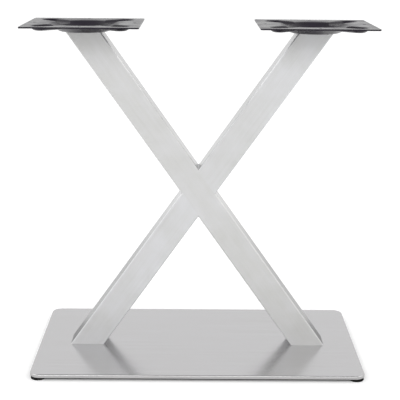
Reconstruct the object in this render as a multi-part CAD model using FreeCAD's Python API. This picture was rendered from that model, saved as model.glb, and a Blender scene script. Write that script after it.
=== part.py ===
import FreeCAD, Part
import math
import os

# X shaped table leg: a crossed pair of square tubes on a weighted base, with two pressed top plates.
# The floor is z = 0, the base's long side lies along X, and the front of the X faces -Y.
# All sizes are in millimetres.

# Overall
overall_height = 720.0
top_spread = 482.0
foot_spread = 489.0

# Base cover, a folded sheet tray
base_length = 700.0
base_width = 400.0
base_corner_radius = 22.0
cover_sheet = 1.5
cover_rim_height = 7.0
cover_bend_radius = 2.5

# Ballast plate inside the tray
ballast_thickness = 8.0
ballast_clearance = 0.25
ballast_chamfer = 1.2

# Corner feet
foot_height = 4.5
foot_diameter = 32.0
foot_inset = 18.0
foot_edge_chamfer = 1.0

# Crossed tubes
tube_side = 60.0
tube_wall = 1.5
tube_edge_radius = 3.0
weld_gap = 0.05

# Plates welded in the tube ends
top_end_thickness = 6.0
bottom_end_thickness = 8.0

# Pressed top plates
plate_side = 240.0
plate_sheet = 3.0
plate_corner_radius = 4.0
dish_depth = 14.5
dish_floor_diameter = 94.0
dish_wall_angle = 28.0
dish_floor_bend = 12.0
dish_crest_bend = 10.0
dish_lead_drop = 1.2
channel_depth = 7.0
channel_floor_width = 18.0
channel_floor_bend = 10.0
channel_crest_bend = 8.0
channel_lead_drop = 0.3
channel_reach = 113.0
lead_angle = 8.0
press_margin = 0.5
table_hole_diameter = 7.0
table_hole_inset = 16.0

# Hexagon bolts and washers in the dishes
bolt_diameter = 8.0
bolt_length = 16.0
bolt_head_flats = 13.0
bolt_head_height = 5.3
bolt_spacing = 34.0
washer_diameter = 16.0
washer_thickness = 1.6

# Countersunk screws through the base
base_screw_diameter = 8.0
base_screw_length = 16.0
base_screw_head = 16.0
base_screw_spacing = 34.0

# Countersunk screws through the feet
foot_screw_diameter = 5.0
foot_screw_length = 8.0
foot_screw_head = 9.2
foot_screw_recess = 1.2

# Clearances
screw_clearance = 0.5
thread_clearance = 0.05
head_clearance = 0.1
countersink_angle = 45.0

# Levels and places that follow from the sizes above
ballast_bottom = foot_height
ballast_top = ballast_bottom + ballast_thickness
cover_top = ballast_top + cover_sheet
dish_floor = overall_height - dish_depth
tube_top = dish_floor - plate_sheet
arm_rise = tube_top - cover_top
arm_run = (top_spread + foot_spread) / 2.0
arm_tilt = math.degrees(math.atan2(arm_run, arm_rise))
cross_height = cover_top + arm_rise * foot_spread / (top_spread + foot_spread)
cut_margin = tube_side
arm_stock = 2.0 * (math.hypot(arm_run, arm_rise) + cut_margin)

LEFT = -1
RIGHT = 1
Z_AXIS = FreeCAD.Vector(0, 0, 1)
Y_AXIS = FreeCAD.Vector(0, 1, 0)
ORIGIN = FreeCAD.Vector(0, 0, 0)


def at(x, y, z):
    return FreeCAD.Vector(x, y, z)


def is_upright(edge):
    direction = edge.tangentAt(edge.FirstParameter)
    return abs(direction.dot(Z_AXIS)) > 0.999


def edges_at_height(solid, height):
    """Edges that lie wholly in the level plane at this height."""
    near = 0.001
    return [
        edge for edge in solid.Edges
        if abs(edge.BoundBox.ZMin - height) < near and abs(edge.BoundBox.ZMax - height) < near
    ]


def rounded_block(length, width, height, radius, bottom):
    """Upright block centred on the Z axis, with its four upright edges rounded."""
    block = Part.makeBox(length, width, height, at(-length / 2.0, -width / 2.0, bottom))
    uprights = [edge for edge in block.Edges if is_upright(edge)]
    return block.makeFillet(radius, uprights)


def arm_bar(side, radius, lean):
    """Square bar with rounded edges along one diagonal of the X, longer than the arm."""
    bar = rounded_block(side, side, arm_stock, radius, -arm_stock / 2.0)
    bar.rotate(ORIGIN, Y_AXIS, lean * arm_tilt)
    bar.translate(at(0, 0, cross_height))
    return bar


def level_slice(low, high):
    """Block that keeps everything between two levels."""
    size = arm_stock
    return Part.makeBox(size, size, high - low, at(-size / 2.0, -size / 2.0, low))


def arm_bore(clearance, lean):
    """Inside space of a tube, made smaller all round by a clearance."""
    side = tube_side - 2.0 * (tube_wall + clearance)
    radius = max(tube_edge_radius - tube_wall - clearance, tube_wall / 2.0)
    return arm_bar(side, radius, lean)


def arm_tube(lean):
    """Hollow tube of one diagonal, cut level at the cover and at the dish."""
    tube = arm_bar(tube_side, tube_edge_radius, lean).cut(arm_bore(0.0, lean))
    return tube.common(level_slice(cover_top, tube_top))


def branch_tubes():
    """Halves of the second diagonal, coped round the through tube; lower half first."""
    envelope = arm_bar(tube_side + 2.0 * weld_gap, tube_edge_radius + weld_gap, LEFT)
    halves = arm_tube(RIGHT).cut(envelope).Solids
    return sorted(halves, key=lambda half: half.CenterOfMass.z)


def pair_places(centre_x, spacing):
    return [centre_x - spacing / 2.0, centre_x + spacing / 2.0]


def round_holes(places, diameter, low, high):
    pins = [Part.makeCylinder(diameter / 2.0, high - low, at(x, y, low)) for x, y in places]
    return Part.makeCompound(pins)


def bolt_places(side):
    return [(x, 0.0) for x in pair_places(side * top_spread / 2.0, bolt_spacing)]


def base_screw_places(side):
    return [(x, 0.0) for x in pair_places(side * foot_spread / 2.0, base_screw_spacing)]


def foot_places():
    x = base_length / 2.0 - foot_inset
    y = base_width / 2.0 - foot_inset
    return {
        "front_left_foot": (-x, -y),
        "front_right_foot": (x, -y),
        "back_left_foot": (-x, y),
        "back_right_foot": (x, y),
    }


def top_end_plate(side):
    """Slant-sided plate inside the tube top, tapped for the top bolts."""
    low = tube_top - top_end_thickness
    plate = arm_bore(weld_gap, side).common(level_slice(low, tube_top))
    taps = round_holes(bolt_places(side), bolt_diameter + 2.0 * thread_clearance, low, tube_top)
    return plate.cut(taps)


def bottom_end_plate(side):
    """Slant-sided plate inside the tube foot, tapped for the base screws."""
    high = cover_top + bottom_end_thickness
    plate = arm_bore(weld_gap, -side).common(level_slice(cover_top, high))
    width = base_screw_diameter + 2.0 * thread_clearance
    return plate.cut(round_holes(base_screw_places(side), width, cover_top, high))


def base_cover():
    """Sheet tray with a bent rim; the tube feet stand on it."""
    rim_bottom = cover_top - cover_rim_height
    outside = rounded_block(base_length, base_width, cover_rim_height, base_corner_radius, rim_bottom)
    outside = outside.makeFillet(cover_bend_radius, edges_at_height(outside, cover_top))
    inside = rounded_block(
        base_length - 2.0 * cover_sheet,
        base_width - 2.0 * cover_sheet,
        cover_rim_height - cover_sheet,
        base_corner_radius - cover_sheet,
        rim_bottom,
    )
    inside_bend = cover_bend_radius - cover_sheet
    if inside_bend > 0.0:
        inside = inside.makeFillet(inside_bend, edges_at_height(inside, ballast_top))
    tray = outside.cut(inside)
    width = base_screw_diameter + 2.0 * screw_clearance
    for side in (LEFT, RIGHT):
        tray = tray.cut(round_holes(base_screw_places(side), width, ballast_top, cover_top))
    return tray


def countersink(x, y, diameter, bottom):
    """Cone that opens downwards at this level."""
    radius = diameter / 2.0
    height = radius / math.tan(math.radians(countersink_angle))
    return Part.makeCone(radius, 0.0, height, at(x, y, bottom))


def ballast_plate():
    """Steel plate that fills the tray and carries the feet."""
    margin = cover_sheet + ballast_clearance
    plate = rounded_block(
        base_length - 2.0 * margin,
        base_width - 2.0 * margin,
        ballast_thickness,
        base_corner_radius - margin,
        ballast_bottom,
    )
    plate = plate.makeChamfer(ballast_chamfer, edges_at_height(plate, ballast_top))
    width = base_screw_diameter + 2.0 * screw_clearance
    for side in (LEFT, RIGHT):
        places = base_screw_places(side)
        plate = plate.cut(round_holes(places, width, ballast_bottom, ballast_top))
        for x, y in places:
            plate = plate.cut(countersink(x, y, base_screw_head + 2.0 * head_clearance, ballast_bottom))
    taps = round_holes(
        foot_places().values(),
        foot_screw_diameter + 2.0 * thread_clearance,
        ballast_bottom,
        foot_screw_recess + foot_screw_length + thread_clearance,
    )
    return plate.cut(taps)


def countersunk_screw(x, y, bottom, diameter, length, head):
    """Screw that points up, with its flat head at this level."""
    head_height = (head - diameter) / 2.0 / math.tan(math.radians(countersink_angle))
    cone = Part.makeCone(head / 2.0, diameter / 2.0, head_height, at(x, y, bottom))
    shank = Part.makeCylinder(diameter / 2.0, length - head_height, at(x, y, bottom + head_height))
    return cone.fuse(shank).removeSplitter()


def base_screws(side):
    screws = []
    for x, y in base_screw_places(side):
        screws.append(
            countersunk_screw(x, y, ballast_bottom, base_screw_diameter, base_screw_length, base_screw_head)
        )
    return Part.makeCompound(screws)


def foot_screws():
    screws = []
    for x, y in foot_places().values():
        screws.append(
            countersunk_screw(
                x, y, foot_screw_recess, foot_screw_diameter, foot_screw_length, foot_screw_head
            )
        )
    return Part.makeCompound(screws)


def foot(x, y):
    """Round pad with a bevelled lower edge and a countersunk hole."""
    pad = Part.makeCylinder(foot_diameter / 2.0, foot_height, at(x, y, 0.0))
    pad = pad.makeChamfer(foot_edge_chamfer, edges_at_height(pad, 0.0))
    seat = foot_screw_head + 2.0 * head_clearance
    recess = round_holes([(x, y)], seat, 0.0, foot_screw_recess)
    bore = round_holes([(x, y)], foot_screw_diameter + 2.0 * head_clearance, 0.0, foot_height)
    return pad.cut(recess).cut(countersink(x, y, seat, foot_screw_recess)).cut(bore)


def hexagon_bolt(x, y, seat):
    """Bolt that points down, with its head standing on this level."""
    corner = bolt_head_flats / 2.0 / math.cos(math.radians(30.0))
    points = []
    for step in range(7):
        angle = math.radians(60.0 * step)
        points.append(at(x + corner * math.cos(angle), y + corner * math.sin(angle), seat))
    head = Part.Face(Part.makePolygon(points)).extrude(at(0, 0, bolt_head_height))
    shank = Part.makeCylinder(bolt_diameter / 2.0, bolt_length, at(x, y, seat - bolt_length))
    return head.fuse(shank).removeSplitter()


def top_bolts(side):
    seat = dish_floor + washer_thickness
    return Part.makeCompound([hexagon_bolt(x, y, seat) for x, y in bolt_places(side)])


def washer(x, y):
    ring = Part.makeCylinder(washer_diameter / 2.0, washer_thickness, at(x, y, dish_floor))
    bore = bolt_diameter / 2.0 + screw_clearance / 2.0
    return ring.cut(Part.makeCylinder(bore, washer_thickness, at(x, y, dish_floor)))


def top_washers(side):
    return Part.makeCompound([washer(x, y) for x, y in bolt_places(side)])


def pressed_wall(floor_half, depth, floor_bend, crest_bend, lead_drop, wall_angle, offset):
    """Half section of a pressed recess in the XZ plane, from its middle line outwards.

    The sheet's upper face has offset 0, and its lower face lies the sheet's thickness away.
    The flat floor ends at floor_half, the wall rises at wall_angle between its two bends,
    and a shallow lead-in climbs the last lead_drop to the flat sheet.
    """
    slope = math.radians(wall_angle)
    lead = math.radians(lead_angle)
    floor_rise = floor_bend * (1.0 - math.cos(slope))
    crest_rise = crest_bend * (math.cos(lead) - math.cos(slope))
    straight = (depth - lead_drop - floor_rise - crest_rise) / math.sin(slope)
    inner = floor_bend + offset
    outer = crest_bend - offset
    low_centre = at(floor_half, 0, overall_height - depth + floor_bend)
    crest_x = floor_half + (floor_bend + crest_bend) * math.sin(slope) + straight * math.cos(slope)
    high_centre = at(crest_x, 0, overall_height - lead_drop - crest_bend * math.cos(lead))

    def on_floor_bend(angle):
        return low_centre + at(inner * math.sin(angle), 0, -inner * math.cos(angle))

    def on_crest_bend(angle):
        return high_centre + at(-outer * math.sin(angle), 0, outer * math.cos(angle))

    middle = at(0, 0, overall_height - depth - offset)
    lead_start = on_crest_bend(lead)
    close_height = overall_height - offset + press_margin
    lead_run = (close_height - lead_start.z) / math.tan(lead)
    lead_end = at(lead_start.x + lead_run, 0, close_height)
    half_way = (slope + lead) / 2.0
    edges = [Part.makeLine(middle, on_floor_bend(0.0))]
    edges.append(Part.Arc(on_floor_bend(0.0), on_floor_bend(slope / 2.0), on_floor_bend(slope)).toShape())
    if straight > 0.001:
        edges.append(Part.makeLine(on_floor_bend(slope), on_crest_bend(slope)))
    edges.append(Part.Arc(on_crest_bend(slope), on_crest_bend(half_way), lead_start).toShape())
    edges.append(Part.makeLine(lead_start, lead_end))
    edges.append(Part.makeLine(lead_end, at(0, 0, close_height)))
    edges.append(Part.makeLine(at(0, 0, close_height), middle))
    return Part.Face(Part.Wire(edges))


def dish_body(offset):
    """Round recess in the middle of a plate."""
    section = pressed_wall(
        dish_floor_diameter / 2.0,
        dish_depth,
        dish_floor_bend,
        dish_crest_bend,
        dish_lead_drop,
        dish_wall_angle,
        offset,
    )
    return section.revolve(ORIGIN, Z_AXIS, 360.0)


def channel_wall_angle():
    """Slope of a channel's wall when its two bends take up the whole depth."""
    lead = math.radians(lead_angle)
    bends = channel_floor_bend + channel_crest_bend
    rise = channel_depth - channel_lead_drop
    level = channel_floor_bend + channel_crest_bend * math.cos(lead) - rise
    return math.degrees(math.acos(level / bends))


def channel_body(offset):
    """Round-ended channel along +X, from the middle of the plate to its reach."""
    half = pressed_wall(
        channel_floor_width / 2.0,
        channel_depth,
        channel_floor_bend,
        channel_crest_bend,
        channel_lead_drop,
        channel_wall_angle(),
        offset,
    )
    end = half.copy()
    end.rotate(ORIGIN, Z_AXIS, -90.0)
    end = end.revolve(ORIGIN, Z_AXIS, 180.0)
    end.translate(at(channel_reach, 0, 0))
    runs = []
    for turn in (90.0, -90.0):
        flank = half.copy()
        flank.rotate(ORIGIN, Z_AXIS, turn)
        runs.append(flank.extrude(at(channel_reach, 0, 0)))
    return runs[0].fuse(runs[1]).fuse(end)


def recesses(offset):
    """Dish and the four diagonal channels together."""
    bodies = []
    for quarter in range(4):
        channel = channel_body(offset)
        channel.rotate(ORIGIN, Z_AXIS, 45.0 + 90.0 * quarter)
        bodies.append(channel)
    return dish_body(offset).multiFuse(bodies)


def table_hole_places(centre_x):
    reach = plate_side / 2.0 - table_hole_inset
    return [
        (centre_x + reach, 0.0),
        (centre_x, reach),
        (centre_x - reach, 0.0),
        (centre_x, -reach),
    ]


def top_plate(side):
    """Square sheet with a dish that seats on the tube and channels that stiffen it."""
    low = overall_height - plate_sheet
    sheet = rounded_block(plate_side, plate_side, plate_sheet, plate_corner_radius, low)
    plate = sheet.fuse(recesses(plate_sheet)).cut(recesses(0.0)).removeSplitter()
    centre_x = side * top_spread / 2.0
    plate.translate(at(centre_x, 0, 0))
    plate = plate.cut(round_holes(table_hole_places(centre_x), table_hole_diameter, low, overall_height))
    width = bolt_diameter + 2.0 * screw_clearance
    return plate.cut(round_holes(bolt_places(side), width, tube_top, dish_floor))


def all_parts():
    lower_branch, upper_branch = branch_tubes()
    parts = {
        "base_cover": base_cover(),
        "ballast_plate": ballast_plate(),
        "through_tube": arm_tube(LEFT),
        "upper_branch_tube": upper_branch,
        "lower_branch_tube": lower_branch,
        "foot_screws": foot_screws(),
    }
    for name, side in (("left", LEFT), ("right", RIGHT)):
        parts[name + "_top_end_plate"] = top_end_plate(side)
        parts[name + "_bottom_end_plate"] = bottom_end_plate(side)
        parts[name + "_top_plate"] = top_plate(side)
        parts[name + "_top_bolts"] = top_bolts(side)
        parts[name + "_top_washers"] = top_washers(side)
        parts[name + "_base_screws"] = base_screws(side)
    for name, (x, y) in foot_places().items():
        parts[name] = foot(x, y)
    return parts


def main():
    os.makedirs("parts", exist_ok=True)
    for name, shape in all_parts().items():
        if not shape.isValid():
            raise ValueError("not a valid shape: " + name)
        shape.exportStep("parts/" + name + ".step")
        print(name, len(shape.Solids), round(shape.Volume, 1))


if __name__ == "__main__":
    main()
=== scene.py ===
import math

import bmesh
import bpy
from bpy.props import FloatProperty, FloatVectorProperty, IntProperty, PointerProperty
from mathutils import Matrix, Vector


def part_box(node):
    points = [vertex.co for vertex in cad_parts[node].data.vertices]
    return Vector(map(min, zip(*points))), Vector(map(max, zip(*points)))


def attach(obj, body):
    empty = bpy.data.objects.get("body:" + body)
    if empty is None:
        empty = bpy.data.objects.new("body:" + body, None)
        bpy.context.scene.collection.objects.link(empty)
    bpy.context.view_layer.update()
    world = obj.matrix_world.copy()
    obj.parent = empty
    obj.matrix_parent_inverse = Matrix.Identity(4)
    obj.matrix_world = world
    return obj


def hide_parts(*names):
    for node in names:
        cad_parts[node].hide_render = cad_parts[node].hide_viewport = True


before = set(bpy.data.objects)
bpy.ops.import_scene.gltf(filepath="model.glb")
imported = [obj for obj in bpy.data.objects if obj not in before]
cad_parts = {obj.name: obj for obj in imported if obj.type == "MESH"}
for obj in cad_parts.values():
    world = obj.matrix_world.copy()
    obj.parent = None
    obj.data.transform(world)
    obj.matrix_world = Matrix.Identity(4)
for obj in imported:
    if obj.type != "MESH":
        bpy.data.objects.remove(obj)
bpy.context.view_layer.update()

bl_info = {
    "name": "X Table Leg",
    "version": (1, 0, 0),
    "blender": (4, 5, 0),
    "location": "View3D > Sidebar > Table Leg",
    "description": "Dresses an X shaped table leg with satin steel, black enamel, bolts, screws "
                   "and welds",
    "category": "Object",
}

BODY = "root"
SIDES = ("left", "right")
FEET = ("front_left_foot", "front_right_foot", "back_left_foot", "back_right_foot")
LEAN_LEFT = -1
LEAN_RIGHT = 1

# The tubes' tilt follows from their box by repetition.
FIRST_TILT = math.radians(35.0)
TILT_ROUNDS = 20

# Meshes.
MERGE_DISTANCE = 1e-7
SMOOTH_BELOW = math.radians(28.0)
LEAST_SHARE = 1e-6

# Patterns: the mean of a noise, and the range that nearly all of it lies in. Sizes and depths in metres.
NOISE_MEAN = 0.5
NOISE_RANGE = (0.3, 0.7)
GRAIN_DEPTH = 0.0001
HAIRLINE_DEPTH = 0.00005
HAIRLINE_ROUGHNESS = 0.03
STREAK_WIDTH = 0.007
STREAK_LENGTH = 0.4
CLOUD_SIZE = 0.06
MILL_PATCH = 0.012
MILL_GRAIN = 0.0006
ENAMEL_PATCH = 0.035
ENAMEL_PEEL = 0.0022
PAINT_PATCH = 0.05
PAINT_SPECKLE = 0.0012
RUBBER_BLOOM = 0.01
RUBBER_GRAIN = 0.0008
ZINC_TINT = 0.006
ZINC_GRAIN = 0.0005

# Shades of a finish: positions on its pattern, each with a brightness or a tint.
STEEL_SHADES = (
    (0.0, 0.68), (0.32, (0.94, 0.94, 0.925)), (0.5, 1.0), (0.68, (1.05, 1.05, 1.07)), (1.0, 1.22))
MILL_SHADES = ((0.35, 0.6), (0.6, (1.1, 1.05, 1.0)))
ENAMEL_SHADES = ((0.35, 0.8), (0.65, (1.5, 1.45, 1.45)))
PAINT_SHADES = ((0.35, 0.8), (0.7, 1.6))
RUBBER_SHADES = ((0.35, 0.8), (0.7, 1.7))
ZINC_SHADES = ((0.3, (0.9, 0.95, 1.08)), (0.5, 1.0), (0.7, (1.08, 1.03, 0.9)))

# Brushed steel: the middle of its shades, and its stretched highlights across the brushed lines.
MIDDLE_SHADE = 0.5
BRUSHED_STRETCH = 0.4
QUARTER_TURN = 0.25
# Share of a normal that faces front or back, from a tube's flank to its face.
FLANK_TO_FACE = (0.1, 0.9)
# Share of a normal that faces up, from the base cover's rim to its top, over which the rim's painted
# shade fades out.
RIM_TO_TOP = (0.2, 0.9)
# The grazing tint, painted darker below the crossing as shade, changes between these distances below and
# above the crossing.
PAINTED_SHADE_BELOW = 0.2
PAINTED_SHADE_ABOVE = 0.05

# Weld bead: shares of its leg that it sinks into the corner and that its hollow face stands out.
WELD_ROOT = 0.4
WELD_FACE = 0.72
STEPS_PER_RIPPLE = 4

# Bolt head: its crown's radius as a share of the flats, and a shallow dish in the crown.
CROWN_RADIUS = 0.46
DISH_RIM = 0.86
DISH_FLOOR = 0.8
DISH_DEPTH = 0.0003

# Driver recess: shares of its outline at the floor and at the tip, and the depth of the tip.
RECESS_FLOOR = 0.96
RECESS_TIP = 0.3
RECESS_TIP_DEPTH = 1.25

# Stage: name, power setting, size and place of each softbox, and the point that all of them face.
SOFTBOXES = (
    ("front_softbox", "front_power", (6.0, 2.4), (0.0, -4.6, 3.8)),
    ("left_softbox", "left_power", (3.0, 3.0), (-2.8, -0.7, 2.5)),
    ("right_softbox", "right_power", (3.0, 3.0), (2.8, -0.7, 2.5)),
)
LIGHT_AIM = (0.0, 0.0, 0.4)
SENSOR_WIDTH = 36.0
# Depths from the front to the back of the floor, and distances at which the far floor begins.
FRONT_TO_BACK = (-0.2, 1.0)
NEAR_TO_FAR = (4.0, 8.0)
# Parts of a direction: how far up the dark overhead strip begins, and how wide it is.
STRIP_RISE = (0.45, 0.95)
STRIP_WIDTH = (0.25, 0.7)


class SteelFinish(bpy.types.PropertyGroup):
    """Satin brushed steel of the tubes and the base cover."""

    through_colour: FloatVectorProperty(
        name="Through tube",
        description="Reflected colour of the tube that runs through the crossing",
        subtype="COLOR", size=3, default=(0.55, 0.55, 0.545), min=0.0, max=1.0)
    branch_colour: FloatVectorProperty(
        name="Branch tubes",
        description="Reflected colour of the two tubes welded to the through tube",
        subtype="COLOR", size=3, default=(0.567, 0.569, 0.572), min=0.0, max=1.0)
    cover_colour: FloatVectorProperty(
        name="Base cover", description="Reflected colour of the base cover",
        subtype="COLOR", size=3, default=(0.556, 0.55, 0.557), min=0.0, max=1.0)
    mill_colour: FloatVectorProperty(
        name="End plates", description="Colour of the unpolished plates inside the tube ends",
        subtype="COLOR", size=3, default=(0.16, 0.155, 0.15), min=0.0, max=1.0)
    hairline_width: FloatProperty(
        name="Hairline width", description="Width of one brushed line",
        default=0.0004, unit="LENGTH")
    hairline_length: FloatProperty(
        name="Hairline length", description="Length of one brushed line",
        default=0.14, unit="LENGTH")
    hairline_contrast: FloatProperty(
        name="Hairline contrast", description="Contrast of the brushed lines",
        default=4.0, min=0.0)
    upper_tint: FloatProperty(
        name="Upper grazing tint",
        description="Share of the reflection left at a grazing angle above the crossing",
        default=0.95, min=0.0, max=1.0, subtype="FACTOR")
    # Painted shade: the tubes' grazing reflection is painted darker below the crossing.
    lower_painted_shade_tint: FloatProperty(
        name="Lower grazing tint",
        description="Share of the reflection left at a grazing angle below the crossing",
        default=0.55, min=0.0, max=1.0, subtype="FACTOR")
    tube_clouds: FloatProperty(
        name="Tube clouds", description="Contrast of the cloudy shades on the tubes",
        default=0.75, min=0.0)
    cover_clouds: FloatProperty(
        name="Cover clouds", description="Contrast of the cloudy shades on the base cover",
        default=0.08, min=0.0, max=1.0, subtype="FACTOR")
    tube_streaks: FloatProperty(
        name="Tube streaks", description="Contrast of the long brushed streaks on the tubes",
        default=0.2, min=0.0)
    cover_streaks: FloatProperty(
        name="Cover streaks", description="Contrast of the long brushed streaks on the base cover",
        default=0.28, min=0.0)
    # Painted highlight: the bends along the tubes' edges are painted brighter than their faces.
    painted_edge_highlight: FloatProperty(
        name="Edge shine",
        description="How far the bends along the tubes' edges are brighter than their faces",
        default=2.0, min=0.0)
    # Painted shade: the folded rim of the base cover is painted darker than its top.
    painted_rim_shade: FloatProperty(
        name="Rim shade",
        description="How far the folded rim of the base cover is duller than its top",
        default=0.4, min=0.0, max=1.0, subtype="FACTOR")
    face_scatter: FloatProperty(
        name="Face scatter",
        description="Share of the light that the fine grain of the tubes' faces scatters all round",
        default=0.5, min=0.0, max=1.0, subtype="FACTOR")
    face_roughness: FloatProperty(
        name="Face roughness", description="Mean roughness of the tubes' front and back faces",
        default=0.42, min=0.0, max=1.0, subtype="FACTOR")
    flank_roughness: FloatProperty(
        name="Flank roughness", description="Mean roughness of the tubes' slanting side faces",
        default=0.22, min=0.0, max=1.0, subtype="FACTOR")
    cover_roughness: FloatProperty(
        name="Cover roughness", description="Mean roughness of the brushed base cover",
        default=0.2, min=0.0, max=1.0, subtype="FACTOR")


class PaintFinish(bpy.types.PropertyGroup):
    """Black enamel, black paint, rubber and zinc."""

    plate_colour: FloatVectorProperty(
        name="Top plates", description="Colour of the enamel on the pressed top plates",
        subtype="COLOR", size=3, default=(0.0088, 0.0066, 0.0125), min=0.0, max=1.0)
    plate_roughness: FloatProperty(
        name="Plate roughness", description="Mean roughness of the enamel",
        default=0.27, min=0.0, max=1.0, subtype="FACTOR")
    ballast_colour: FloatVectorProperty(
        name="Ballast", description="Colour of the paint on the ballast plate",
        subtype="COLOR", size=3, default=(0.005, 0.005, 0.005), min=0.0, max=1.0)
    rubber_colour: FloatVectorProperty(
        name="Feet", description="Colour of the rubber feet",
        subtype="COLOR", size=3, default=(0.005, 0.005, 0.005), min=0.0, max=1.0)
    zinc_colour: FloatVectorProperty(
        name="Zinc", description="Colour of the zinc on the bolts, washers and screws",
        subtype="COLOR", size=3, default=(0.5, 0.51, 0.53), min=0.0, max=1.0)


class FastenerSizes(bpy.types.PropertyGroup):
    """Small shapes of the bolts, washers and screws."""

    bolt_flats: FloatProperty(
        name="Bolt head", description="Width of a bolt head across its flats",
        default=0.013, unit="LENGTH")
    bolt_shank: FloatProperty(
        name="Bolt shank", description="Diameter of a bolt's shank",
        default=0.008, unit="LENGTH")
    crown_angle: FloatProperty(
        name="Crown chamfer", description="Slope of the chamfer on a bolt head's corners",
        default=math.radians(30.0), subtype="ANGLE")
    washer_bore: FloatProperty(
        name="Washer bore", description="Diameter of the hole in a washer",
        default=0.0085, unit="LENGTH")
    edge_break: FloatProperty(
        name="Edge break", description="Small chamfer on washers and shank ends",
        default=0.0003, unit="LENGTH")
    base_screw_shank: FloatProperty(
        name="Base screw", description="Diameter of a base screw's shank",
        default=0.008, unit="LENGTH")
    socket_flats: FloatProperty(
        name="Socket", description="Width of the hexagon socket in a base screw",
        default=0.005, unit="LENGTH")
    socket_depth: FloatProperty(
        name="Socket depth", description="Depth of the hexagon socket",
        default=0.003, unit="LENGTH")
    foot_screw_shank: FloatProperty(
        name="Foot screw", description="Diameter of a foot screw's shank",
        default=0.005, unit="LENGTH")
    cross_reach: FloatProperty(
        name="Cross recess",
        description="Reach of the cross recess from the middle of a foot screw",
        default=0.0024, unit="LENGTH")
    cross_width: FloatProperty(
        name="Cross slot", description="Width of the cross recess's slots",
        default=0.0013, unit="LENGTH")
    cross_depth: FloatProperty(
        name="Cross depth", description="Depth of the cross recess",
        default=0.0016, unit="LENGTH")
    facets: IntProperty(
        name="Facets", description="Number of sides of a round fastener, a multiple of 12",
        default=72, min=12)


class WeldSizes(bpy.types.PropertyGroup):
    """Weld beads in the four corners of the crossing."""

    leg: FloatProperty(
        name="Leg", description="Width of a bead on each tube",
        default=0.0009, unit="LENGTH")
    ripple_pitch: FloatProperty(
        name="Ripple pitch", description="Distance from one ripple of a bead to the next",
        default=0.0016, unit="LENGTH")
    ripple: FloatProperty(
        name="Ripple", description="How much a bead swells at each ripple, as a share of its leg",
        default=0.14, min=0.0, max=0.5, subtype="FACTOR")


class StageSettings(bpy.types.PropertyGroup):
    """Floor, light and camera."""

    floor_colour: FloatVectorProperty(
        name="Floor", description="Colour of the floor",
        subtype="COLOR", size=3, default=(0.86, 0.86, 0.86), min=0.0, max=1.0)
    front_lift: FloatProperty(
        name="Front lift",
        description="Light that the camera and reflections see from the floor in front of the leg",
        default=0.2, min=0.0, max=1.0)
    back_lift: FloatProperty(
        name="Back lift",
        description="Light that the camera and reflections see from the floor behind the leg",
        default=0.47, min=0.0, max=1.0)
    far_lift: FloatProperty(
        name="Far lift",
        description="Light that the camera and reflections see from the floor far round the leg",
        default=0.32, min=0.0, max=1.0)
    floor_reach: FloatProperty(
        name="Floor reach", description="Distance from the middle of the floor to its edge",
        default=40.0, unit="LENGTH")
    horizon: FloatProperty(
        name="Horizon", description="Brightness of the studio near the horizon",
        default=1.0, min=0.0)
    zenith: FloatProperty(
        name="Zenith", description="Brightness of the studio straight above",
        default=0.24, min=0.0)
    front_power: FloatProperty(
        name="Front light", description="Power of the wide raised softbox at the front",
        default=125.0, unit="POWER")
    left_power: FloatProperty(
        name="Left light", description="Power of the raised softbox on the left",
        default=26.0, unit="POWER")
    right_power: FloatProperty(
        name="Right light", description="Power of the raised softbox on the right",
        default=22.0, unit="POWER")
    camera_place: FloatVectorProperty(
        name="Camera", description="Place of the camera",
        subtype="TRANSLATION", unit="LENGTH", size=3, default=(-0.0076, -2.2202, 0.9018))
    camera_tilt: FloatProperty(
        name="Tilt", description="How far the camera looks down",
        default=math.radians(14.2286), subtype="ANGLE")
    camera_yaw: FloatProperty(
        name="Yaw", description="How far the camera looks to the right",
        default=math.radians(0.2868), subtype="ANGLE")
    camera_roll: FloatProperty(
        name="Roll", description="How far the camera leans to the left",
        default=math.radians(-0.4506), subtype="ANGLE")
    focal_length: FloatProperty(
        name="Focal length", description="Focal length of the camera on a 36 mm sensor",
        default=94.5438, unit="CAMERA")


def fill(tree, node, values):
    """Sets a node's inputs, or links them where a value is another node's output."""
    for key, value in values.items():
        if isinstance(value, bpy.types.NodeSocket):
            tree.links.new(value, node.inputs[key])
        else:
            node.inputs[key].default_value = value


def add_node(tree, kind, values=None, **settings):
    """Adds a node, sets its own settings, and fills its inputs with values or links."""
    node = tree.nodes.new(kind)
    for key, value in settings.items():
        setattr(node, key, value)
    fill(tree, node, values or {})
    return node


def new_finish(name):
    """A material with a surface shader: (material, its nodes, the shader, object coordinates)."""
    material = bpy.data.materials.new(name)
    material.use_nodes = True
    tree = material.node_tree
    tree.nodes.clear()
    shader = add_node(tree, "ShaderNodeBsdfPrincipled")
    add_node(tree, "ShaderNodeOutputMaterial", {"Surface": shader.outputs["BSDF"]})
    place = add_node(tree, "ShaderNodeTexCoord").outputs["Object"]
    return material, tree, shader, place


def noise(tree, place, size, turn=0.0, detail=2.0):
    """Noise with features of this size, or of these sizes along the axes of a frame turned about Y."""
    if isinstance(size, float):
        size = (size, size, size)
    turned = add_node(
        tree, "ShaderNodeMapping",
        {"Vector": place, "Rotation": (0.0, turn, 0.0), "Scale": size},
        vector_type="TEXTURE")
    texture = add_node(
        tree, "ShaderNodeTexNoise",
        {"Vector": turned.outputs["Vector"], "Scale": 1.0, "Detail": detail})
    return texture.outputs["Fac"]


def calculate(tree, operation, *values):
    """One arithmetic step on sockets or numbers."""
    step = add_node(tree, "ShaderNodeMath", dict(enumerate(values)), operation=operation)
    return step.outputs["Value"]


def spread(tree, value, low, high, to_low, to_high):
    """Maps a value from one range to another, smoothly, and stops at the ends."""
    mapped = add_node(
        tree, "ShaderNodeMapRange",
        {"Value": value, "From Min": low, "From Max": high, "To Min": to_low, "To Max": to_high},
        interpolation_type="SMOOTHSTEP")
    return mapped.outputs["Result"]


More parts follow.
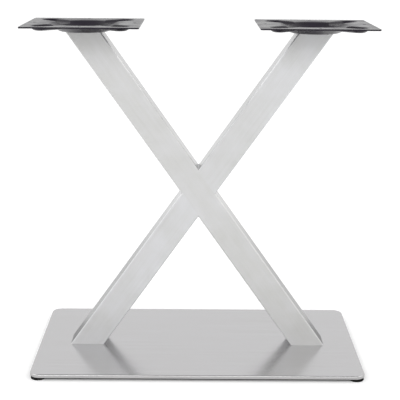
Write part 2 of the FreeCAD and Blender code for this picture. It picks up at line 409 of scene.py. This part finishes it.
def vary(tree, pattern, low, high):
    """Lets a value follow a noise from low to high."""
    return spread(tree, pattern, *NOISE_RANGE, low, high)


def shades(tree, value, colour, stops):
    """Colour ramp of one colour: each stop is a position and a brightness or tint."""
    ramp = add_node(tree, "ShaderNodeValToRGB", {"Fac": value})
    elements = ramp.color_ramp.elements
    while len(elements) < len(stops):
        elements.new(1.0)
    for element, (position, tint) in zip(elements, stops):
        element.position = position
        gains = tint if isinstance(tint, tuple) else (tint, tint, tint)
        element.color = [min(1.0, part * gain) for part, gain in zip(colour, gains)] + [1.0]
    return ramp.outputs["Color"]


def bump(tree, pattern, strength, depth=GRAIN_DEPTH):
    """Normal of a surface that a pattern raises."""
    raised = add_node(
        tree, "ShaderNodeBump", {"Height": pattern, "Strength": strength, "Distance": depth})
    return raised.outputs["Normal"]


def set_inputs(tree, shader, **values):
    """Fills the shader's inputs. An underscore in a name stands for a space."""
    fill(tree, shader, {key.replace("_", " "): value for key, value in values.items()})


def satin_steel(
        name, colour, roughness, cloudy, streaky, finish, along, turn=0.0, crossing_height=None):
    """Brushed steel with hairlines along one axis and broad cloudy shades.

    The tubes give the height of their crossing. Their faces scatter light, their bends get a painted
    highlight, and their flanks' grazing reflection is painted darker below the crossing, a painted
    shade.
    The base cover gives none, and its rim is painted darker than its top, a painted shade.
    """
    material, tree, shader, place = new_finish(name)
    axis = "XYZ".index(along)

    def stretched(width, length, detail):
        size = [width, width, width]
        size[axis] = length
        return noise(tree, place, size, turn, detail)

    hairlines = stretched(finish.hairline_width, finish.hairline_length, 3.0)
    streaks = stretched(STREAK_WIDTH, STREAK_LENGTH, 2.0)
    clouds = noise(tree, place, CLOUD_SIZE, detail=5.0)
    start = MIDDLE_SHADE - NOISE_MEAN * (cloudy + streaky)
    clouded = calculate(tree, "MULTIPLY_ADD", clouds, cloudy, start)
    streaked = calculate(tree, "MULTIPLY_ADD", streaks, streaky, clouded)
    grain = vary(tree, hairlines, -HAIRLINE_ROUGHNESS, HAIRLINE_ROUGHNESS)
    # The tone holds the random grain, streaks and clouds; a painted highlight or painted shade is added
    # to it below.
    tone_and_painted_light = calculate(tree, "MULTIPLY_ADD", grain, finish.hairline_contrast, streaked)
    normal = add_node(tree, "ShaderNodeNewGeometry").outputs["Normal"]
    facing = add_node(tree, "ShaderNodeSeparateXYZ", {"Vector": normal}).outputs
    if crossing_height is None:
        # Painted shade: the cover's upright rim gets a darker colour than its top.
        level = calculate(tree, "ABSOLUTE", facing["Z"])
        tone_and_painted_light = calculate(
            tree, "ADD", tone_and_painted_light, spread(tree, level, *RIM_TO_TOP, -finish.painted_rim_shade, 0.0))
        metal = 1.0
        tint = (finish.upper_tint, finish.upper_tint, finish.upper_tint, 1.0)
    else:
        flat = calculate(tree, "ABSOLUTE", facing["Y"])
        # Painted highlight: the bends between a tube's faces and flanks get a brighter colour.
        edge = calculate(tree, "MULTIPLY", flat, calculate(tree, "SUBTRACT", 1.0, flat))
        tone_and_painted_light = calculate(tree, "MULTIPLY_ADD", edge, finish.painted_edge_highlight, tone_and_painted_light)
        roughness = spread(tree, flat, *FLANK_TO_FACE, finish.flank_roughness, roughness)
        metal = spread(tree, flat, *FLANK_TO_FACE, 1.0, 1.0 - finish.face_scatter)
        # Painted shade: the grazing tint falls from the upper tint to the darker lower tint below the
        # crossing.
        height = add_node(tree, "ShaderNodeSeparateXYZ", {"Vector": place}).outputs["Z"]
        tint = spread(
            tree, height, crossing_height - PAINTED_SHADE_BELOW, crossing_height + PAINTED_SHADE_ABOVE,
            finish.lower_painted_shade_tint, finish.upper_tint)
    direction = Matrix.Rotation(turn, 3, "Y").col[axis]
    brushed = add_node(
        tree, "ShaderNodeCombineXYZ", {"X": direction.x, "Y": direction.y, "Z": direction.z})
    set_inputs(
        tree, shader,
        Base_Color=shades(tree, tone_and_painted_light, colour, STEEL_SHADES),
        Metallic=metal,
        Roughness=calculate(tree, "ADD", grain, roughness),
        Specular_Tint=tint,
        Anisotropic=BRUSHED_STRETCH,
        Anisotropic_Rotation=QUARTER_TURN,
        Tangent=brushed.outputs["Vector"],
        Normal=bump(tree, hairlines, 0.05, HAIRLINE_DEPTH))
    return material


def mill_steel(finish):
    """Unpolished steel with dark scale in patches."""
    material, tree, shader, place = new_finish("mill_scale_steel")
    patches = noise(tree, place, MILL_PATCH, detail=4.0)
    grain = noise(tree, place, MILL_GRAIN)
    set_inputs(
        tree, shader,
        Base_Color=shades(tree, patches, finish.mill_colour, MILL_SHADES),
        Metallic=0.85,
        Roughness=vary(tree, patches, 0.42, 0.62),
        Normal=bump(tree, grain, 0.2))
    return material


def black_enamel(paint):
    """Stoved black enamel with a fine orange peel and faint dusty patches."""
    material, tree, shader, place = new_finish("black_enamel")
    peel = noise(tree, place, ENAMEL_PEEL, detail=1.5)
    patches = noise(tree, place, ENAMEL_PATCH, detail=3.0)
    low = paint.plate_roughness - 0.04
    high = paint.plate_roughness + 0.06
    set_inputs(
        tree, shader,
        Base_Color=shades(tree, patches, paint.plate_colour, ENAMEL_SHADES),
        Roughness=vary(tree, patches, low, high),
        Specular_IOR_Level=0.25,
        Normal=bump(tree, peel, 0.12))
    return material


def black_paint(paint):
    """Sprayed satin paint on the ballast plate."""
    material, tree, shader, place = new_finish("black_ballast_paint")
    speckle = noise(tree, place, PAINT_SPECKLE, detail=3.0)
    patches = noise(tree, place, PAINT_PATCH, detail=4.0)
    set_inputs(
        tree, shader,
        Base_Color=shades(tree, patches, paint.ballast_colour, PAINT_SHADES),
        Roughness=vary(tree, patches, 0.46, 0.6),
        Specular_IOR_Level=0.15,
        Normal=bump(tree, speckle, 0.25))
    return material


def black_rubber(paint):
    """Moulded rubber with a fine matt grain."""
    material, tree, shader, place = new_finish("black_rubber")
    grain = noise(tree, place, RUBBER_GRAIN, detail=3.0)
    bloom = noise(tree, place, RUBBER_BLOOM, detail=3.0)
    set_inputs(
        tree, shader,
        Base_Color=shades(tree, bloom, paint.rubber_colour, RUBBER_SHADES),
        Roughness=vary(tree, bloom, 0.62, 0.78),
        Specular_IOR_Level=0.1,
        Normal=bump(tree, grain, 0.3))
    return material


def zinc_plate(paint):
    """Bright zinc with a faint blue and straw tint, made the first time that it is asked for."""
    if "bright_zinc" in bpy.data.materials:
        return bpy.data.materials["bright_zinc"]
    material, tree, shader, place = new_finish("bright_zinc")
    tint = noise(tree, place, ZINC_TINT)
    grain = noise(tree, place, ZINC_GRAIN)
    set_inputs(
        tree, shader,
        Base_Color=shades(tree, tint, paint.zinc_colour, ZINC_SHADES),
        Metallic=1.0,
        Roughness=vary(tree, grain, 0.28, 0.42),
        Normal=bump(tree, grain, 0.1))
    return material


def paint_nodes(names, material):
    """Gives a finish to the solids with these names."""
    for name in names:
        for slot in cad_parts[name].material_slots:
            slot.material = material


def settle(parts, place):
    """Puts vertices, edges or faces in the order of their places, because bmesh keeps no fixed order."""
    parts.index_update()
    ranks = {part.index: rank for rank, part in enumerate(sorted(parts, key=place))}
    parts.sort(key=lambda part: ranks[part.index])
    parts.index_update()


def add_piece(name, bm, material, replaced=()):
    """Turns a bmesh into a piece of the leg, smooth apart from its sharp edges."""
    bmesh.ops.remove_doubles(bm, verts=bm.verts, dist=MERGE_DISTANCE)
    bmesh.ops.recalc_face_normals(bm, faces=bm.faces)
    settle(bm.verts, lambda vert: tuple(vert.co))
    settle(bm.edges, lambda edge: sorted(vert.index for vert in edge.verts))
    settle(bm.faces, lambda face: sorted(vert.index for vert in face.verts))
    for face in bm.faces:
        face.smooth = True
    for edge in bm.edges:
        edge.smooth = edge.is_manifold and edge.calc_face_angle() < SMOOTH_BELOW
    mesh = bpy.data.meshes.new(name)
    bm.to_mesh(mesh)
    bm.free()
    mesh.materials.append(material)
    piece = bpy.data.objects.new(name, mesh)
    bpy.context.scene.collection.objects.link(piece)
    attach(piece, BODY)
    if replaced:
        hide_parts(*replaced)


def round_blank(facets, radius):
    """A bmesh with one round face on level 0: (bmesh, face)."""
    bm = bmesh.new()
    bmesh.ops.create_circle(bm, cap_ends=True, segments=facets, radius=radius)
    return bm, next(iter(bm.faces))


def extrude(bm, face):
    """Extrudes a face and returns the new end. The old face goes, unless it closes the other end."""
    inside = any(len(edge.link_faces) > 1 for edge in face.edges)
    grown = bmesh.ops.extrude_face_region(bm, geom=[face])["geom"]
    if inside:
        bmesh.ops.delete(bm, geom=[face], context="FACES_ONLY")
    return next(part for part in grown if isinstance(part, bmesh.types.BMFace))


def draw_out(bm, face, level, outline):
    """Extrudes a face to a level, where its rim follows an outline: a radius for each direction."""
    end = extrude(bm, face)
    for vert in end.verts:
        direction = Vector((vert.co.x, vert.co.y, 0.0)).normalized()
        radius = outline(math.atan2(direction.y, direction.x))
        vert.co = direction * radius + Vector((0.0, 0.0, level))
    return end


def circle(radius):
    """Outline of a circle."""
    return lambda angle: radius


def hexagon(flats):
    """Outline of a hexagon with corners on the X axis."""
    sixth = math.pi / 3.0
    return lambda angle: flats / 2.0 / math.cos((angle % sixth) - sixth / 2.0)


def cross(reach, width):
    """Outline of two crossed slots."""
    half = width / 2.0

    def outline(angle):
        along = max(abs(math.cos(angle)), LEAST_SHARE)
        over = max(abs(math.sin(angle)), LEAST_SHARE)
        return max(min(reach / along, half / over), min(reach / over, half / along))

    return outline


def copy_to(bm, places):
    """Moves the bmesh to the first place and copies it to the others."""
    first = list(bm.verts) + list(bm.edges) + list(bm.faces)
    for place in places[1:]:
        made = bmesh.ops.duplicate(bm, geom=first)["geom"]
        verts = [part for part in made if isinstance(part, bmesh.types.BMVert)]
        bmesh.ops.translate(bm, verts=verts, vec=place)
    verts = [part for part in first if isinstance(part, bmesh.types.BMVert)]
    bmesh.ops.translate(bm, verts=verts, vec=places[0])


def countersunk_screw(sizes, head, shank, length, recess, depth):
    """Screw that points up from level 0, with a recess in its flat head."""
    rim = sizes.edge_break
    bm, face = round_blank(sizes.facets, head)
    edge = draw_out(bm, face, rim, circle(head))
    cone = draw_out(bm, edge, head - shank, circle(shank))
    end = draw_out(bm, cone, length - rim, circle(shank))
    draw_out(bm, end, length, circle(shank - rim))
    mouth = draw_out(bm, face, 0.0, recess)
    floor = draw_out(bm, mouth, depth, lambda angle: recess(angle) * RECESS_FLOOR)
    draw_out(bm, floor, depth * RECESS_TIP_DEPTH, lambda angle: recess(angle) * RECESS_TIP)
    return bm


def pair_places(node):
    """Middles of the two like pieces side by side along X in a node, at its lowest level."""
    low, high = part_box(node)
    radius = (high.y - low.y) / 2.0
    middle = (high.y + low.y) / 2.0
    return [Vector((low.x + radius, middle, low.z)), Vector((high.x - radius, middle, low.z))]


def crossing():
    """Height of the middle of the X, and the tilt of its tubes from upright."""
    low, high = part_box("through_tube")
    side = high.y - low.y
    rise = high.z - low.z
    tilt = FIRST_TILT
    for _ in range(TILT_ROUNDS):
        run = high.x - low.x - side / math.cos(tilt)
        tilt = math.atan2(run, rise)
    top_x = low.x + side / math.cos(tilt) / 2.0
    height = high.z + top_x / math.tan(tilt)
    return height, tilt


class TABLELEG_OT_tubes(bpy.types.Operator):
    """Gives the crossed tubes and the plates in their ends their brushed and mill finishes"""

    bl_idname = "table_leg.tubes"
    bl_label = "Crossed Tubes"

    def execute(self, context):
        finish = context.scene.leg_steel
        height, tilt = crossing()
        surface = (finish.face_roughness, finish.tube_clouds, finish.tube_streaks, finish)
        through = satin_steel(
            "through_satin_steel", finish.through_colour, *surface, "Z", LEAN_LEFT * tilt, height)
        branch = satin_steel(
            "branch_satin_steel", finish.branch_colour, *surface, "Z", LEAN_RIGHT * tilt, height)
        paint_nodes(["through_tube"], through)
        paint_nodes(["upper_branch_tube", "lower_branch_tube"], branch)
        ends = [f"{side}_{level}_end_plate" for side in SIDES for level in ("top", "bottom")]
        paint_nodes(ends, mill_steel(finish))
        return {"FINISHED"}


class TABLELEG_OT_welds(bpy.types.Operator):
    """Lays a rippled weld bead in each of the four corners of the crossing"""

    bl_idname = "table_leg.welds"
    bl_label = "Crossing Welds"

    def execute(self, context):
        weld = context.scene.leg_weld
        height, tilt = crossing()
        low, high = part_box("through_tube")
        half = (high.y - low.y) / 2.0
        start = low.y + weld.leg
        length = high.y - low.y - 2.0 * weld.leg
        steps = max(2, round(length / weld.ripple_pitch) * STEPS_PER_RIPPLE)
        upright = half / math.sin(tilt)
        level = half / math.cos(tilt)
        centre = Vector((0.0, 0.0, height))
        bm = bmesh.new()
        for away, opening in (
                (Vector((0.0, 0.0, upright)), tilt),
                (Vector((0.0, 0.0, -upright)), tilt),
                (Vector((level, 0.0, 0.0)), math.pi / 2.0 - tilt),
                (Vector((-level, 0.0, 0.0)), math.pi / 2.0 - tilt)):
            self.bead(bm, centre + away, away.normalized(), opening, weld, start, length, steps)
        add_piece("crossing_welds", bm, bpy.data.materials["branch_satin_steel"])
        return {"FINISHED"}

    def bead(self, bm, root, outward, opening, weld, start, length, steps):
        """One bead along Y: a hollow fillet between two faces that open at this half angle."""
        turn = Matrix.Rotation(opening, 3, "Y")
        back = Matrix.Rotation(-opening, 3, "Y")
        first = turn @ outward * weld.leg
        second = back @ outward * weld.leg
        hollow = outward * weld.leg * math.cos(opening) * WELD_FACE
        corner = root + Vector((0.0, start, 0.0))
        arms = (-outward * weld.leg * WELD_ROOT, first, hollow, second)
        face = bm.faces.new([bm.verts.new(corner + arm) for arm in arms])
        stride = length / steps
        swell = 1.0
        for step in range(1, steps + 1):
            face = extrude(bm, face)
            ends = list(face.verts)
            bmesh.ops.translate(bm, verts=ends, vec=(0.0, stride, 0.0))
            target = 1.0 + weld.ripple * abs(math.sin(math.pi * step / STEPS_PER_RIPPLE))
            middle = root + Vector((0.0, start + stride * step, 0.0))
            bmesh.ops.scale(
                bm, verts=ends, vec=Vector((1.0, 1.0, 1.0)) * (target / swell),
                space=Matrix.Translation(-middle))
            swell = target


class TABLELEG_OT_base(bpy.types.Operator):
    """Gives the base cover its brushed finish and the ballast plate its paint"""

    bl_idname = "table_leg.base"
    bl_label = "Weighted Base"

    def execute(self, context):
        finish = context.scene.leg_steel
        cover = satin_steel(
            "cover_satin_steel", finish.cover_colour, finish.cover_roughness, finish.cover_clouds,
            finish.cover_streaks, finish, "X")
        paint_nodes(["base_cover"], cover)
        paint_nodes(["ballast_plate"], black_paint(context.scene.leg_paint))
        return {"FINISHED"}


class TABLELEG_OT_top_plates(bpy.types.Operator):
    """Gives the pressed top plates their black enamel"""

    bl_idname = "table_leg.top_plates"
    bl_label = "Top Plates"

    def execute(self, context):
        paint_nodes([f"{side}_top_plate" for side in SIDES], black_enamel(context.scene.leg_paint))
        return {"FINISHED"}


class TABLELEG_OT_top_bolts(bpy.types.Operator):
    """Makes the hexagon bolts and washers in the dishes of the top plates"""

    bl_idname = "table_leg.top_bolts"
    bl_label = "Top Bolts"

    def execute(self, context):
        sizes = context.scene.leg_fasteners
        zinc = zinc_plate(context.scene.leg_paint)
        for side in SIDES:
            bolts = f"{side}_top_bolts"
            washers = f"{side}_top_washers"
            places = pair_places(washers)
            low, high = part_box(washers)
            seat = high.z - low.z
            bolt_low, bolt_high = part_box(bolts)
            reach = low.z + seat - bolt_low.z
            head = bolt_high.z - low.z - seat
            bm = self.bolt(sizes, head, reach)
            copy_to(bm, [place + Vector((0.0, 0.0, seat)) for place in places])
            add_piece(f"{side}_hexagon_bolts", bm, zinc, (bolts,))
            bm = self.washer(sizes, (high.y - low.y) / 2.0, seat)
            copy_to(bm, places)
            add_piece(f"{side}_flat_washers", bm, zinc, (washers,))
        return {"FINISHED"}

    def bolt(self, sizes, head, reach):
        """Bolt that stands on level 0, with a chamfered crown and a shank below."""
        flats = sizes.bolt_flats
        crown = flats * CROWN_RADIUS
        slope = math.tan(sizes.crown_angle)
        shank = sizes.bolt_shank / 2.0
        bm, seat = round_blank(sizes.facets, flats / 2.0)
        for vert in seat.verts:
            vert.co *= hexagon(flats)(math.atan2(vert.co.y, vert.co.x)) / vert.co.length
        rim = draw_out(bm, seat, head, hexagon(flats))
        for vert in rim.verts:
            vert.co.z -= (vert.co.xy.length - crown) * slope
        top = draw_out(bm, rim, head, circle(crown))
        dish = draw_out(bm, top, head, circle(crown * DISH_RIM))
        draw_out(bm, dish, head - DISH_DEPTH, circle(crown * DISH_FLOOR))
        neck = draw_out(bm, seat, 0.0, circle(shank))
        end = draw_out(bm, neck, -reach + sizes.edge_break * 2.0, circle(shank))
        draw_out(bm, end, -reach, circle(shank - sizes.edge_break * 2.0))
        return bm

    def washer(self, sizes, radius, thickness):
        """Ring that stands on level 0, with its edges broken."""
        bore = sizes.washer_bore / 2.0
        chamfer = sizes.edge_break
        bm = bmesh.new()
        section = [
            (bore + chamfer, 0.0), (radius - chamfer, 0.0),
            (radius, chamfer), (radius, thickness - chamfer),
            (radius - chamfer, thickness), (bore + chamfer, thickness),
            (bore, thickness - chamfer), (bore, chamfer),
        ]
        verts = [bm.verts.new((x, 0.0, z)) for x, z in section]
        edges = [bm.edges.new((verts[i - 1], verts[i])) for i in range(len(verts))]
        bmesh.ops.spin(
            bm, geom=verts + edges, cent=(0.0, 0.0, 0.0), axis=(0.0, 0.0, 1.0),
            angle=2.0 * math.pi, steps=sizes.facets, use_merge=True)
        return bm


class TABLELEG_OT_base_screws(bpy.types.Operator):
    """Makes the countersunk socket screws that hold the tubes to the base"""

    bl_idname = "table_leg.base_screws"
    bl_label = "Base Screws"

    def execute(self, context):
        sizes = context.scene.leg_fasteners
        zinc = zinc_plate(context.scene.leg_paint)
        for side in SIDES:
            node = f"{side}_base_screws"
            low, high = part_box(node)
            bm = countersunk_screw(
                sizes, (high.y - low.y) / 2.0, sizes.base_screw_shank / 2.0, high.z - low.z,
                hexagon(sizes.socket_flats), sizes.socket_depth)
            copy_to(bm, pair_places(node))
            add_piece(f"{side}_socket_screws", bm, zinc, (node,))
        return {"FINISHED"}


class TABLELEG_OT_feet(bpy.types.Operator):
    """Gives the corner feet their rubber and makes the cross-slotted screws that hold them"""

    bl_idname = "table_leg.feet"
    bl_label = "Corner Feet"

    def execute(self, context):
        sizes = context.scene.leg_fasteners
        paint = context.scene.leg_paint
        zinc = zinc_plate(paint)
        paint_nodes(FEET, black_rubber(paint))
        low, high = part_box("foot_screws")
        places = []
        for foot in FEET:
            foot_low, foot_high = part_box(foot)
            middle = (foot_low + foot_high) / 2.0
            places.append(Vector((middle.x, middle.y, low.z)))
        outermost = max(place.x for place in places)
        bm = countersunk_screw(
            sizes, high.x - outermost, sizes.foot_screw_shank / 2.0, high.z - low.z,
            cross(sizes.cross_reach, sizes.cross_width), sizes.cross_depth)
        copy_to(bm, places)
        add_piece("foot_cross_screws", bm, zinc, ("foot_screws",))
        return {"FINISHED"}


class TABLELEG_OT_stage(bpy.types.Operator):
    """Sets up a plain pale floor, soft studio light and the camera"""

    bl_idname = "table_leg.stage"
    bl_label = "Stage"

    def execute(self, context):
        scene = context.scene
        stage = scene.leg_stage
        scene.view_settings.view_transform = "Standard"
        self.floor(scene, stage)
        self.studio(scene, stage)
        for name, power, size, place in SOFTBOXES:
            self.softbox(scene, name, getattr(stage, power), size, place)
        self.camera(scene, stage)
        return {"FINISHED"}

    def seen(self, tree):
        """1 for what the camera sees, straight, by reflection or through glass, and 0 for soft light."""
        path = add_node(tree, "ShaderNodeLightPath")
        both = calculate(
            tree, "MAXIMUM", path.outputs["Is Camera Ray"], path.outputs["Is Glossy Ray"])
        return calculate(tree, "MAXIMUM", both, path.outputs["Is Transmission Ray"])

    def floor(self, scene, stage):
        """Pale floor that takes the shadow, looks white to the camera and is clear from below."""
        bm = bmesh.new()
        bmesh.ops.create_grid(bm, x_segments=2, y_segments=2, size=stage.floor_reach)
        mesh = bpy.data.meshes.new("floor")
        bm.to_mesh(mesh)
        bm.free()
        floor = bpy.data.objects.new("floor", mesh)
        scene.collection.objects.link(floor)
        material = bpy.data.materials.new("pale_floor")
        material.use_nodes = True
        tree = material.node_tree
        tree.nodes.clear()
        paper = add_node(tree, "ShaderNodeBsdfDiffuse", {"Color": (*stage.floor_colour, 1.0)})
        place = add_node(tree, "ShaderNodeTexCoord").outputs["Object"]
        depth = add_node(tree, "ShaderNodeSeparateXYZ", {"Vector": place}).outputs["Y"]
        near = spread(tree, depth, *FRONT_TO_BACK, stage.front_lift, stage.back_lift)
        away = add_node(tree, "ShaderNodeVectorMath", {0: place}, operation="LENGTH")
        far = spread(tree, away.outputs["Value"], *NEAR_TO_FAR, 0.0, stage.far_lift)
        share = calculate(tree, "MAXIMUM", near, far)
        lift = calculate(tree, "MULTIPLY", self.seen(tree), share)
        glow = add_node(tree, "ShaderNodeEmission", {"Strength": lift})
        lit = add_node(
            tree, "ShaderNodeAddShader", {0: paper.outputs["BSDF"], 1: glow.outputs["Emission"]})
        clear = add_node(tree, "ShaderNodeBsdfTransparent")
        below = add_node(tree, "ShaderNodeNewGeometry").outputs["Backfacing"]
        both = add_node(
            tree, "ShaderNodeMixShader",
            {"Fac": below, 1: lit.outputs["Shader"], 2: clear.outputs["BSDF"]})
        add_node(tree, "ShaderNodeOutputMaterial", {"Surface": both.outputs["Shader"]})
        mesh.materials.append(material)

    def studio(self, scene, stage):
        """White all round, with a dark strip overhead from front to back."""
        world = bpy.data.worlds.new("studio")
        world.use_nodes = True
        tree = world.node_tree
        tree.nodes.clear()
        direction = add_node(tree, "ShaderNodeTexCoord").outputs["Generated"]
        parts = add_node(tree, "ShaderNodeSeparateXYZ", {"Vector": direction})
        sideways = calculate(tree, "ABSOLUTE", parts.outputs["X"])
        overhead = spread(tree, parts.outputs["Z"], *STRIP_RISE, 0.0, 1.0)
        strip = spread(tree, sideways, *STRIP_WIDTH, stage.zenith - stage.horizon, 0.0)
        glow = calculate(tree, "MULTIPLY_ADD", overhead, strip, stage.horizon)
        sky = add_node(
            tree, "ShaderNodeBackground", {"Color": (1.0, 1.0, 1.0, 1.0), "Strength": glow})
        add_node(tree, "ShaderNodeOutputWorld", {"Surface": sky.outputs["Background"]})
        scene.world = world

    def softbox(self, scene, name, power, size, place):
        """Rectangular lamp that faces the leg."""
        light = bpy.data.lights.new(name, "AREA")
        light.shape = "RECTANGLE"
        light.size, light.size_y = size
        light.energy = power
        lamp = bpy.data.objects.new(name, light)
        lamp.location = place
        aim = Vector(LIGHT_AIM) - lamp.location
        lamp.rotation_euler = aim.to_track_quat("-Z", "Y").to_euler()
        scene.collection.objects.link(lamp)

    def camera(self, scene, stage):
        """Camera that stands where the photograph was taken from."""
        lens = bpy.data.cameras.new("camera")
        lens.sensor_width = SENSOR_WIDTH
        lens.lens = stage.focal_length
        camera = bpy.data.objects.new("camera", lens)
        yaw = Matrix.Rotation(-stage.camera_yaw, 4, "Z")
        tilt = Matrix.Rotation(math.pi / 2.0 - stage.camera_tilt, 4, "X")
        roll = Matrix.Rotation(-stage.camera_roll, 4, "Z")
        camera.matrix_world = Matrix.Translation(stage.camera_place) @ yaw @ tilt @ roll
        scene.collection.objects.link(camera)
        scene.camera = camera


class TABLELEG_PT_panel(bpy.types.Panel):
    """Lists the steps that dress the leg"""

    bl_idname = "TABLELEG_PT_panel"
    bl_label = "X Table Leg"
    bl_space_type = "VIEW_3D"
    bl_region_type = "UI"
    bl_category = "Table Leg"

    def draw(self, context):
        for step in STEPS:
            self.layout.operator(step.bl_idname)


SETTINGS = {
    "leg_steel": SteelFinish,
    "leg_paint": PaintFinish,
    "leg_fasteners": FastenerSizes,
    "leg_weld": WeldSizes,
    "leg_stage": StageSettings,
}
STEPS = (
    TABLELEG_OT_base,
    TABLELEG_OT_tubes,
    TABLELEG_OT_welds,
    TABLELEG_OT_top_plates,
    TABLELEG_OT_top_bolts,
    TABLELEG_OT_base_screws,
    TABLELEG_OT_feet,
    TABLELEG_OT_stage,
)


def register():
    """Adds the settings, the steps and the panel."""
    for group in SETTINGS.values():
        bpy.utils.register_class(group)
    for name, group in SETTINGS.items():
        setattr(bpy.types.Scene, name, PointerProperty(type=group))
    for step in STEPS:
        bpy.utils.register_class(step)
    bpy.utils.register_class(TABLELEG_PT_panel)


def unregister():
    """Takes away the panel, the steps and the settings."""
    bpy.utils.unregister_class(TABLELEG_PT_panel)
    for step in reversed(STEPS):
        bpy.utils.unregister_class(step)
    for name in SETTINGS:
        delattr(bpy.types.Scene, name)
    for group in SETTINGS.values():
        bpy.utils.unregister_class(group)


def main():
    """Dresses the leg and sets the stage."""
    register()
    bpy.ops.table_leg.base()
    bpy.ops.table_leg.tubes()
    bpy.ops.table_leg.welds()
    bpy.ops.table_leg.top_plates()
    bpy.ops.table_leg.top_bolts()
    bpy.ops.table_leg.base_screws()
    bpy.ops.table_leg.feet()
    bpy.ops.table_leg.stage()


if __name__ == "__main__":
    main()
